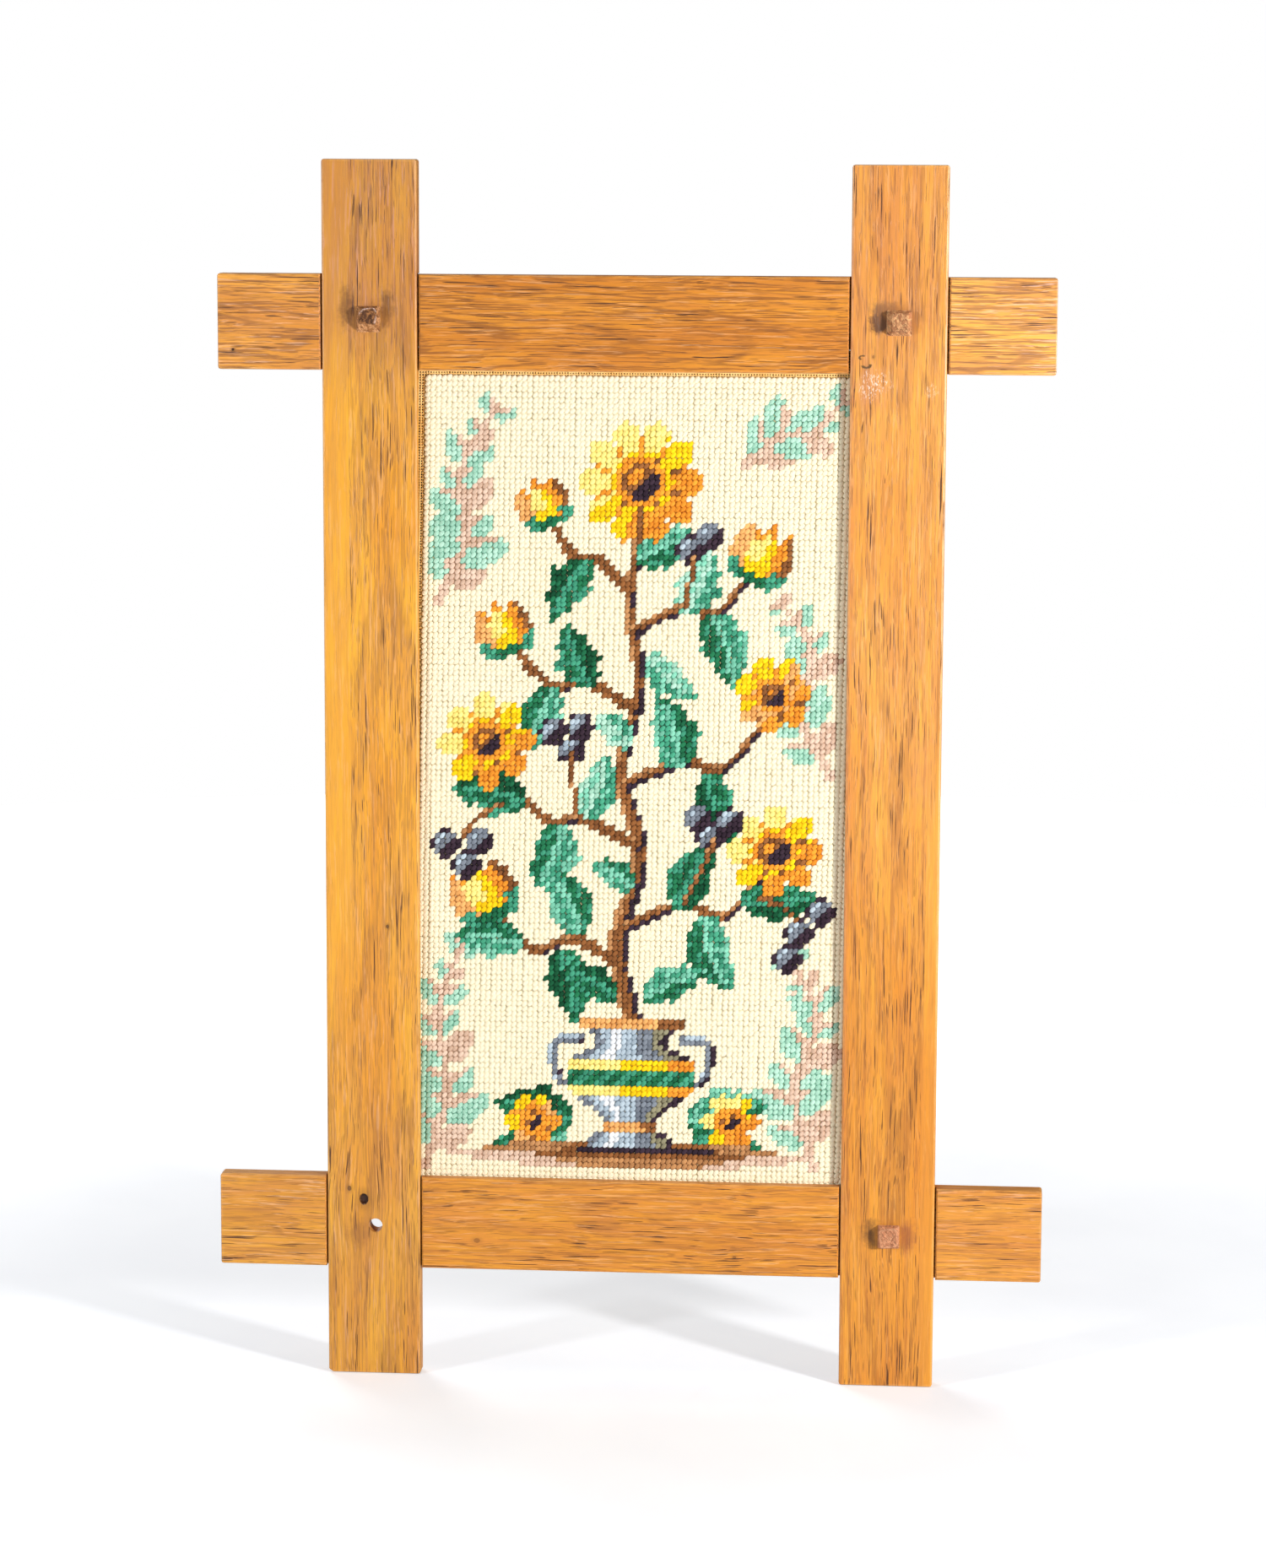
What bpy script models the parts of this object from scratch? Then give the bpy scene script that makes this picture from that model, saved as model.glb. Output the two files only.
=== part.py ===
"""A stitched canvas in an upright oak frame.

Two stiles and two rails of the same flat stock cross each other in half laps, run past each other as
short horns and stubs, and are pegged through the crossings. The stitched canvas sits in a stopped
rebate round the back of the opening. Everything is in metres, with +Z up and the face towards -Y.
"""

import math
from collections import namedtuple

import bmesh
import bpy
from mathutils import Matrix, Vector

# The wooden bars
BAR_WIDTH = 0.045
BAR_DEPTH = 0.010
LAP_DEPTH = BAR_DEPTH / 2
REBATE_WIDTH = 0.011

# The canvas count sets the opening: ten stitches to the inch, 80 across and 153 down
STITCH_PITCH = 0.00254
SIGHT_WIDTH = 80 * STITCH_PITCH
SIGHT_HEIGHT = 153 * STITCH_PITCH

# How far each bar runs past the bar it crosses
HORN_BELOW = 0.0530
HORN_ABOVE = {"left": 0.0533, "right": 0.0516}
STUB = {
    "top": {"left": 0.0495, "right": 0.0507},
    "bottom": {"left": 0.0524, "right": 0.0512},
}

# Fit and wear
FIT_GAP = 0.0003
SHOULDER_GAP = 0.0008
SHOULDER_EASE = 0.0007
LONG_EASE = 0.0010
END_EASE = 0.0004
CORNER_EASE = 0.0012
EASE_STEPS = 2
EASE_PROFILE = 0.5
OVERSHOOT = 0.002

# Marks of age on the left stile: a knot has dropped out beside the lower crossing, across and up from
# its middle, and the outer corner of the foot is chipped
KNOT_PLACE = (-0.0050, 0.0114)
KNOT_RADIUS = 0.0026
KNOT_FLOOR_RADIUS = 0.0019
KNOT_DEPTH = 0.0016
KNOT_NARROWING = 0.88
CHIP_ACROSS = 0.0026
CHIP_UP = 0.0016

# Pegs and their holes
HOLE_RADIUS = 0.00335
SHANK_RADIUS = HOLE_RADIUS - FIT_GAP
HOLE_SIDES = 32
HEAD_HEIGHT = 0.0052
HEAD_STAND = FIT_GAP + HEAD_HEIGHT
SHANK_INTO_HEAD = 0.0015
HEAD_EASE = 0.0007
HEAD_PROFILE = 0.6

# The stitched canvas
CANVAS_THICKNESS = 0.0012
WOOL_HEIGHT = 0.0010
CANVAS_UNDER_LIP = REBATE_WIDTH - FIT_GAP
BARE_TOP = 0.0022
BARE_LEFT_AT_TOP = 0.0032
BARE_LEFT_LENGTH = 0.188

# Finishes
OAK_COLOUR = (0.66, 0.36, 0.11)
OAK_ROUGHNESS = 0.55
PEG_COLOUR = (0.50, 0.30, 0.17)
PEG_ROUGHNESS = 0.70
WOOL_COLOUR = (0.78, 0.73, 0.60)
WOOL_ROUGHNESS = 0.90

# Levels and places that follow from the sizes above; the origin is centred under the whole object
FRONT = (HEAD_STAND - BAR_DEPTH) / 2
LAP_PLANE = FRONT + LAP_DEPTH
BACK = FRONT + BAR_DEPTH
FRAME_SHIFT = (STUB["bottom"]["left"] - STUB["bottom"]["right"]) / 2
STILE_X = {
    "left": FRAME_SHIFT - SIGHT_WIDTH / 2 - BAR_WIDTH / 2,
    "right": FRAME_SHIFT + SIGHT_WIDTH / 2 + BAR_WIDTH / 2,
}
RAIL_Z = {
    "bottom": HORN_BELOW + BAR_WIDTH / 2,
    "top": HORN_BELOW + BAR_WIDTH + SIGHT_HEIGHT + BAR_WIDTH / 2,
}
INWARD = {"left": 1, "right": -1, "bottom": 1, "top": -1}
SIGHT_TOP = RAIL_Z["top"] - BAR_WIDTH / 2
SIGHT_BOTTOM = RAIL_Z["bottom"] + BAR_WIDTH / 2
SIGHT_LEFT = STILE_X["left"] + BAR_WIDTH / 2
SIGHT_RIGHT = STILE_X["right"] - BAR_WIDTH / 2

# A peg hole's offset from the middle of its crossing, across and up
HOLE_OFFSET = {
    ("left", "top"): (-0.0004, 0.0014),
    ("right", "top"): (0.0000, 0.0013),
    ("right", "bottom"): (0.0007, -0.0014),
    ("left", "bottom"): (0.0008, -0.0017),
}

# The heads are cut by knife: each row gives the size at the face, the size at the tip, and how far
# the tip leans off the hole, all across and up
Head = namedtuple("Head", "side level base tip lean")
HEADS = [
    Head("left", "top", base=(0.0113, 0.0122), tip=(0.0083, 0.0072), lean=(0.0002, 0.0020)),
    Head("right", "top", base=(0.0117, 0.0119), tip=(0.0076, 0.0091), lean=(0.0004, 0.0001)),
    Head("right", "bottom", base=(0.0104, 0.0114), tip=(0.0094, 0.0102), lean=(-0.0001, 0.0004)),
]


def clear_scene():
    """Remove every object that the file opened with."""
    for old in list(bpy.data.objects):
        bpy.data.objects.remove(old, do_unlink=True)


def new_collection(name):
    """A collection linked into the scene."""
    made = bpy.data.collections.new(name)
    bpy.context.scene.collection.children.link(made)
    return made


def new_material(name, colour, roughness):
    """A plain Principled material."""
    made = bpy.data.materials.new(name)
    made.use_nodes = True
    shader = made.node_tree.nodes["Principled BSDF"]
    shader.inputs["Base Color"].default_value = (*colour, 1.0)
    shader.inputs["Roughness"].default_value = roughness
    shader.inputs["Metallic"].default_value = 0.0
    made.diffuse_color = (*colour, 1.0)
    return made


def place_mesh(name, shape, collection, location=(0, 0, 0), material=None):
    """Turn a bmesh into a named object at a location."""
    mesh = bpy.data.meshes.new(name)
    shape.to_mesh(mesh)
    shape.free()
    made = bpy.data.objects.new(name, mesh)
    made.location = location
    collection.objects.link(made)
    if material is not None:
        mesh.materials.append(material)
    return made


def box_shape(low, high):
    """A box between two corners."""
    low, high = Vector(low), Vector(high)
    shape = bmesh.new()
    bmesh.ops.create_cube(shape, size=1.0)
    size = high - low
    bmesh.ops.scale(shape, vec=size, verts=shape.verts)
    bmesh.ops.translate(shape, vec=(low + high) / 2, verts=shape.verts)
    return shape


def hide_cutter(cutter):
    """Show a cutter as lines only."""
    cutter.hide_render = True
    cutter.display_type = "WIRE"
    return cutter


def cut(target, cutter):
    """Cut one mesh out of another."""
    step = target.modifiers.new("cut " + cutter.name, "BOOLEAN")
    step.operation = "DIFFERENCE"
    step.solver = "EXACT"
    step.object = cutter


def ease_bar(bar, along):
    """Round a bar's edges: most at the four corners of its face, less at the ends."""
    shape = bmesh.new()
    shape.from_mesh(bar.data)
    weight = shape.edges.layers.float.new("bevel_weight_edge")
    for edge in shape.edges:
        run = edge.verts[1].co - edge.verts[0].co
        if abs(run[along]) > 2 * BAR_WIDTH:
            edge[weight] = LONG_EASE / CORNER_EASE
        elif abs(run.y) > BAR_DEPTH / 2:
            edge[weight] = 1.0
        else:
            edge[weight] = END_EASE / CORNER_EASE
    shape.to_mesh(bar.data)
    shape.free()
    step = bar.modifiers.new("worn edges", "BEVEL")
    step.limit_method = "WEIGHT"
    step.width = CORNER_EASE
    step.segments = EASE_STEPS
    step.profile = EASE_PROFILE


def make_stile(side):
    """One upright bar, with its face at the front and its foot on the floor."""
    top = RAIL_Z["top"] + BAR_WIDTH / 2 + HORN_ABOVE[side]
    half = BAR_WIDTH / 2
    shape = box_shape((-half, FRONT, 0), (half, BACK, top))
    stile = place_mesh("stile_" + side, shape, parts, (STILE_X[side], 0, 0), oak)
    ease_bar(stile, along=2)
    reach = (SIGHT_BOTTOM - REBATE_WIDTH, SIGHT_TOP + REBATE_WIDTH)
    cut(stile, rebate_cutter("stile_" + side, "x", STILE_X[side], INWARD[side], reach))
    for level in ("bottom", "top"):
        cut(stile, seat_cutter(side, level))
        cut(stile, hole_cutter(side, level))
    if side == "left":
        cut(stile, knot_cutter())
        cut(stile, chip_cutter())
    return stile


def make_rail(level):
    """One cross bar, lapped behind both stiles."""
    left = STILE_X["left"] - BAR_WIDTH / 2 - STUB[level]["left"]
    right = STILE_X["right"] + BAR_WIDTH / 2 + STUB[level]["right"]
    half = BAR_WIDTH / 2
    shape = box_shape((left, FRONT, -half), (right, BACK, half))
    rail = place_mesh("rail_" + level, shape, parts, (0, 0, RAIL_Z[level]), oak)
    ease_bar(rail, along=0)
    reach = (SIGHT_LEFT - REBATE_WIDTH, SIGHT_RIGHT + REBATE_WIDTH)
    cut(rail, rebate_cutter("rail_" + level, "z", RAIL_Z[level], INWARD[level], reach))
    for side in ("left", "right"):
        cut(rail, housing_cutter(side, level))
        cut(rail, hole_cutter(side, level))
    return rail


def rebate_cutter(name, across, centre, inward, span):
    """The step along a bar's inner back edge, cut over the opening only."""
    inner = centre + inward * (BAR_WIDTH / 2 + OVERSHOOT)
    wall = centre + inward * (BAR_WIDTH / 2 - REBATE_WIDTH)
    low, high = min(inner, wall), max(inner, wall)
    start, end = span
    if across == "x":
        corners = ((low, LAP_PLANE, start), (high, BACK + OVERSHOOT, end))
    else:
        corners = ((start, LAP_PLANE, low), (end, BACK + OVERSHOOT, high))
    return hide_cutter(place_mesh(name + "_rebate", box_shape(*corners), cutters))


def seat_cutter(side, level):
    """The notch in a stile's back that takes the rail's rear half."""
    tall = BAR_WIDTH / 2 + FIT_GAP
    reach = BAR_WIDTH / 2 + OVERSHOOT
    shape = box_shape(
        (STILE_X[side] - reach, LAP_PLANE - FIT_GAP / 2, RAIL_Z[level] - tall),
        (STILE_X[side] + reach, BACK + OVERSHOOT, RAIL_Z[level] + tall),
    )
    return hide_cutter(place_mesh(f"seat_{side}_{level}", shape, cutters))


def housing_cutter(side, level):
    """The notch in a rail's face that clears the stile, with eased shoulders at its mouth."""
    reach = BAR_WIDTH / 2 + SHOULDER_GAP
    mouth = FRONT + SHOULDER_EASE
    shape = box_shape(
        (STILE_X[side] - reach, FRONT - OVERSHOOT, RAIL_Z[level] - BAR_WIDTH),
        (STILE_X[side] + reach, LAP_PLANE + FIT_GAP / 2, RAIL_Z[level] + BAR_WIDTH),
    )
    everything = shape.verts[:] + shape.edges[:] + shape.faces[:]
    bmesh.ops.bisect_plane(shape, geom=everything, plane_co=(0, mouth, 0), plane_no=(0, 1, 0))
    for vert in shape.verts:
        if vert.co.y < FRONT:
            vert.co.x += (mouth - vert.co.y) * (1 if vert.co.x > STILE_X[side] else -1)
    return hide_cutter(place_mesh(f"housing_{side}_{level}", shape, cutters))


def hole_place(side, level):
    """Where a peg hole's axis crosses the face."""
    across, up = HOLE_OFFSET[(side, level)]
    return Vector((STILE_X[side] + across, FRONT, RAIL_Z[level] + up))


def drilled_shape(radius, front, back, back_radius=None):
    """A round bar along Y, between two depths, straight or tapering to a second radius at the back."""
    end = radius if back_radius is None else back_radius
    shape = bmesh.new()
    bmesh.ops.create_cone(
        shape, cap_ends=True, segments=HOLE_SIDES, radius1=radius, radius2=end, depth=back - front
    )
    bmesh.ops.rotate(shape, matrix=Matrix.Rotation(math.radians(-90), 3, "X"), verts=shape.verts)
    bmesh.ops.translate(shape, vec=(0, (front + back) / 2, 0), verts=shape.verts)
    return shape


def hole_cutter(side, level):
    """The drill for one crossing. The stile and the rail share it."""
    name = f"drill_{side}_{level}"
    if name in bpy.data.objects:
        return bpy.data.objects[name]
    shape = drilled_shape(HOLE_RADIUS, -OVERSHOOT, BAR_DEPTH + OVERSHOOT)
    return hide_cutter(place_mesh(name, shape, cutters, hole_place(side, level)))


def knot_cutter():
    """The shallow, slightly oval hole where a knot has dropped out of the left stile."""
    across, up = KNOT_PLACE
    place = Vector((STILE_X["left"] + across, FRONT, RAIL_Z["bottom"] + up))
    spread = (KNOT_RADIUS - KNOT_FLOOR_RADIUS) * OVERSHOOT / KNOT_DEPTH
    shape = drilled_shape(KNOT_RADIUS + spread, -OVERSHOOT, KNOT_DEPTH, KNOT_FLOOR_RADIUS)
    bmesh.ops.scale(shape, vec=(KNOT_NARROWING, 1, 1), verts=shape.verts)
    return hide_cutter(place_mesh("knot_hole", shape, cutters, place))


def chip_cutter():
    """A wedge that takes the outer corner off the left foot."""
    outer = STILE_X["left"] - BAR_WIDTH / 2
    slope = CHIP_UP / CHIP_ACROSS
    shape = box_shape(
        (outer - OVERSHOOT, FRONT - OVERSHOOT, -OVERSHOOT),
        (outer + CHIP_ACROSS + OVERSHOOT, BACK + OVERSHOOT, 0),
    )
    for vert in shape.verts:
        if vert.co.z > -OVERSHOOT / 2:
            vert.co.z = slope * (outer + CHIP_ACROSS - vert.co.x)
    return hide_cutter(place_mesh("chipped_foot", shape, cutters))


def head_shape(head):
    """A square head that narrows towards its tip and leans a little."""
    shape = bmesh.new()
    bmesh.ops.create_cube(shape, size=1.0)
    for vert in shape.verts:
        tip = vert.co.y < 0
        wide, tall = head.tip if tip else head.base
        vert.co.x *= wide
        vert.co.z *= tall
        if tip:
            vert.co.x += head.lean[0]
            vert.co.z += head.lean[1]
        vert.co.y = -HEAD_STAND if tip else -FIT_GAP
    edges = [edge for edge in shape.edges if any(vert.co.y < -HEAD_HEIGHT / 2 for vert in edge.verts)]
    bmesh.ops.bevel(
        shape, geom=edges, offset=HEAD_EASE, segments=EASE_STEPS, profile=HEAD_PROFILE, affect="EDGES"
    )
    return shape


def make_peg(head):
    """A whittled peg: a round shank through the crossing and a square head on the face."""
    name = f"peg_{head.level}_{head.side}"
    place = hole_place(head.side, head.level)
    peg = place_mesh(name, head_shape(head), parts, place, peg_wood)
    shank_shape = drilled_shape(SHANK_RADIUS, -FIT_GAP - SHANK_INTO_HEAD, BAR_DEPTH)
    shank = hide_cutter(place_mesh(name + "_shank", shank_shape, cutters, place))
    step = peg.modifiers.new("shank", "BOOLEAN")
    step.operation = "UNION"
    step.solver = "EXACT"
    step.object = shank
    return peg


def make_canvas():
    """The stitched canvas: one sheet behind the lip, thinner where the canvas is left bare."""
    wool_face = LAP_PLANE + FIT_GAP
    canvas_face = wool_face + WOOL_HEIGHT
    canvas_back = canvas_face + CANVAS_THICKNESS
    half_width = SIGHT_WIDTH / 2 + CANVAS_UNDER_LIP
    low = SIGHT_BOTTOM - CANVAS_UNDER_LIP
    high = SIGHT_TOP + CANVAS_UNDER_LIP
    shape = box_shape((-half_width, wool_face, low), (half_width, canvas_back, high))
    sheet = place_mesh("embroidered_canvas", shape, parts, (FRAME_SHIFT, 0, 0), stitched_wool)
    reach = SIGHT_WIDTH
    top_shape = box_shape(
        (-reach, wool_face - OVERSHOOT, SIGHT_TOP - BARE_TOP), (reach, canvas_face, high + OVERSHOOT)
    )
    cut(sheet, hide_cutter(place_mesh("bare_top", top_shape, cutters)))
    cut(sheet, hide_cutter(left_margin_cutter(wool_face, canvas_face, high)))
    return sheet


def left_margin_cutter(wool_face, canvas_face, high):
    """The bare strip at the left, widest at the top, because the stitched edge runs out of square."""
    run_out = SIGHT_TOP - BARE_LEFT_LENGTH
    slope = BARE_LEFT_AT_TOP / BARE_LEFT_LENGTH
    bottom = SIGHT_BOTTOM - CANVAS_UNDER_LIP - OVERSHOOT
    shape = box_shape(
        (SIGHT_LEFT - CANVAS_UNDER_LIP - OVERSHOOT, wool_face - OVERSHOOT, bottom),
        (SIGHT_LEFT, canvas_face, high + OVERSHOOT),
    )
    for vert in shape.verts:
        if vert.co.x > SIGHT_LEFT - OVERSHOOT:
            vert.co.x += slope * (vert.co.z - run_out)
    return place_mesh("bare_left", shape, cutters)


clear_scene()
parts = new_collection("framed_embroidery")
cutters = new_collection("cutters")
oak = new_material("oak", OAK_COLOUR, OAK_ROUGHNESS)
peg_wood = new_material("peg_wood", PEG_COLOUR, PEG_ROUGHNESS)
stitched_wool = new_material("stitched_wool", WOOL_COLOUR, WOOL_ROUGHNESS)

for side_name in ("left", "right"):
    make_stile(side_name)
for level_name in ("top", "bottom"):
    make_rail(level_name)
for head_row in HEADS:
    make_peg(head_row)
make_canvas()
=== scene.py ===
"""The dressed look of the framed embroidery: waxed oak bars, whittled pegs and wool tent stitch on canvas.

Everything is in metres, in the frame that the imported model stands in: +Z up, the stitched face towards -Y.
"""

import math

import bmesh
import bpy
import numpy as np
from mathutils import Matrix, Vector, noise


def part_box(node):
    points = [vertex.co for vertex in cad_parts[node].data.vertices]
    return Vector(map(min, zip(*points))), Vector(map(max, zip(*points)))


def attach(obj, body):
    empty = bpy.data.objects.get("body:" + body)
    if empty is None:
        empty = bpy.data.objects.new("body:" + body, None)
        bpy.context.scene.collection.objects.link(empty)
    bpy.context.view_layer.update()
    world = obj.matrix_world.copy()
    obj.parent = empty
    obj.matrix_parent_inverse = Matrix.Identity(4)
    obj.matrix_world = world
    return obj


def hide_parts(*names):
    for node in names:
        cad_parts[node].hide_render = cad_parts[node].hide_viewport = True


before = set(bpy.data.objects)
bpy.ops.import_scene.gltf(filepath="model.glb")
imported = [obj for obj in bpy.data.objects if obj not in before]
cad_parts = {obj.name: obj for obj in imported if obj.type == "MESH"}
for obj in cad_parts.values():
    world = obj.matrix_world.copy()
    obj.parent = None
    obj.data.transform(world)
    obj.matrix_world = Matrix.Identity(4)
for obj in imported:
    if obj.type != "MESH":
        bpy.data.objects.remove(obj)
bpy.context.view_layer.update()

# The camera stands where the photograph was taken from
EYE = Vector((0.1528, -1.97725, 0.5889))
EYE_RIGHT = Vector((0.99702292, 0.07699799, 0.00407582))
EYE_UP = Vector((-0.01543496, 0.14751376, 0.98893956))
SENSOR = 36.0
FOCAL_LENGTH = 96.88

# The canvas count, and where the stitched field starts in the opening
PITCH = 0.00254
SIGHT_LEFT, SIGHT_TOP = -0.1010, 0.48662
COLUMNS, ROWS = 82, 153
BARE_TOP = 0.0022

# The columns lean to the right as they rise. Above RUN_OUT they leave bare canvas along the left stile
LEAN_RUN = 0.188
RUN_OUT = SIGHT_TOP - LEAN_RUN
FIELD_SLOPE = 0.0032 / LEAN_RUN

# Levels from the face to the back
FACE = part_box("stile_left")[0].y
WOOL_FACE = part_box("embroidered_canvas")[0].y
CANVAS_FACE = WOOL_FACE + 0.0010
STITCH_HEIGHT = 0.00075
STITCH_FOOT = WOOL_FACE + STITCH_HEIGHT
CANVAS_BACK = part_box("embroidered_canvas")[1].y
REVERSE_HEIGHT = 0.00085

chance = np.random.default_rng(53)


class Wire:
    """An output in a node tree. Sums on wires lay the nodes that work them out."""

    def __init__(self, recipe, socket):
        self.recipe, self.socket = recipe, socket

    def __add__(self, other):
        return self.recipe.maths("ADD", self, other)

    def __sub__(self, other):
        return self.recipe.maths("SUBTRACT", self, other)

    def __rsub__(self, other):
        return self.recipe.maths("SUBTRACT", other, self)

    def __mul__(self, other):
        return self.recipe.maths("MULTIPLY", self, other)

    def __truediv__(self, other):
        return self.recipe.maths("DIVIDE", self, other)


class Recipe:
    """Lays out one node tree. Each step adds a node and hands back its output."""

    def __init__(self, tree):
        self.tree = tree

    def place_node(self, kind, inputs=None, **settings):
        node = self.tree.nodes.new(kind)
        for key, value in settings.items():
            setattr(node, key, value)
        for key, value in (inputs or {}).items():
            if isinstance(value, Wire):
                self.send(value, node.inputs[key])
            else:
                node.inputs[key].default_value = value
        return node

    def put(self, kind, inputs=None, out=0, **settings):
        return Wire(self, self.place_node(kind, inputs, **settings).outputs[out])

    def wires(self, node):
        """All the outputs of a node, by name."""
        return {socket.name: Wire(self, socket) for socket in node.outputs}

    def maths(self, operation, *values):
        return self.put("ShaderNodeMath", dict(enumerate(values)), operation=operation)

    def vector(self, operation, *values, out=0):
        return self.put("ShaderNodeVectorMath", dict(enumerate(values)), out, operation=operation)

    def length(self, vector):
        return self.vector("LENGTH", vector, out=1)

    def split(self, vector):
        return list(self.wires(self.place_node("ShaderNodeSeparateXYZ", {0: vector})).values())

    def join(self, x, y, z):
        return self.put("ShaderNodeCombineXYZ", {0: x, 1: y, 2: z})

    def noise(self, place, scale, detail=3.0, rough=0.55, distortion=0.0):
        values = {"Vector": place, "Scale": scale, "Detail": detail, "Roughness": rough,
                  "Distortion": distortion}
        return self.put("ShaderNodeTexNoise", values)

    def streaks(self, place, counts, detail=3.0, rough=0.55):
        """Noise with its own count of grains to the metre each way."""
        return self.noise(self.vector("MULTIPLY", place, counts), 1.0, detail, rough)

    def cells(self, place, counts):
        """How far each point is from the middle of its cell, with its own count of cells each way."""
        place = self.vector("MULTIPLY", place, counts)
        return self.put("ShaderNodeTexVoronoi", {"Vector": place, "Scale": 1.0})

    def from_mark(self, place, centre, size):
        """How many sizes a point lies from the centre of a mark, each way."""
        return self.vector("DIVIDE", self.vector("SUBTRACT", place, centre), size)

    def blot(self, place, centre, size, coarse, rim, core, strength):
        """A mark with a ragged edge: nothing at the rim, full strength at the core."""
        far = self.length(self.from_mark(place, centre, size)) + self.noise(place, coarse, 4.0, 0.7) * 1.2
        return self.ramp(far, rim, core, 0.0, strength)

    def ramp(self, value, low, high, start=0.0, end=1.0):
        values = {0: value, 1: low, 2: high, 3: start, 4: end}
        return self.put("ShaderNodeMapRange", values, interpolation_type="SMOOTHSTEP")

    def mix(self, share, first, second, blend="MIX"):
        inputs = {0: share, 6: first, 7: second}
        return self.put("ShaderNodeMix", inputs, 2, data_type="RGBA", blend_type=blend)

    def group(self, tree, **values):
        """A shared group with values of its own. Underscores in the names stand for spaces."""
        inputs = {key.replace("_", " "): value for key, value in values.items()}
        return self.wires(self.place_node("ShaderNodeGroup", inputs, node_tree=tree))

    def send(self, wire, socket):
        self.tree.links.new(wire.socket, socket)


def new_group(name, inputs, outputs):
    """A shader node group with named sockets, and the recipe to fill it."""
    tree = bpy.data.node_groups.new(name, "ShaderNodeTree")
    kinds = {"value": "NodeSocketFloat", "colour": "NodeSocketColor", "vector": "NodeSocketVector"}
    for way, sockets in (("INPUT", inputs), ("OUTPUT", outputs)):
        for label, kind in sockets:
            tree.interface.new_socket(name=label, in_out=way, socket_type=kinds[kind])
    make = Recipe(tree)
    given = make.wires(tree.nodes.new("NodeGroupInput"))
    result = tree.nodes.new("NodeGroupOutput").inputs
    return make, given, result


def new_material(name, roughness, specular, sheen=0.0):
    """A Principled material with its constant values set on the shader itself."""
    material = bpy.data.materials.new(name)
    material.use_nodes = True
    shader = material.node_tree.nodes["Principled BSDF"]
    shader.inputs["Roughness"].default_value = roughness
    shader.inputs["Specular IOR Level"].default_value = specular
    shader.inputs["Sheen Weight"].default_value = sheen
    shader.inputs["Sheen Roughness"].default_value = 0.5
    return material, shader, Recipe(material.node_tree)


def raise_surface(recipe, shader, height, distance, strength=1.0):
    """Turn a height into relief on the shader."""
    values = {"Height": height, "Distance": distance, "Strength": strength}
    recipe.send(recipe.put("ShaderNodeBump", values), shader.inputs["Normal"])


def dye(red, green, blue):
    """A colour named in ordinary 0-255 steps, as the light values that the shaders use."""
    steps = [value / 255 for value in (red, green, blue)]
    return tuple(s / 12.92 if s <= 0.04045 else ((s + 0.055) / 1.055) ** 2.4 for s in steps) + (1.0,)


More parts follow.
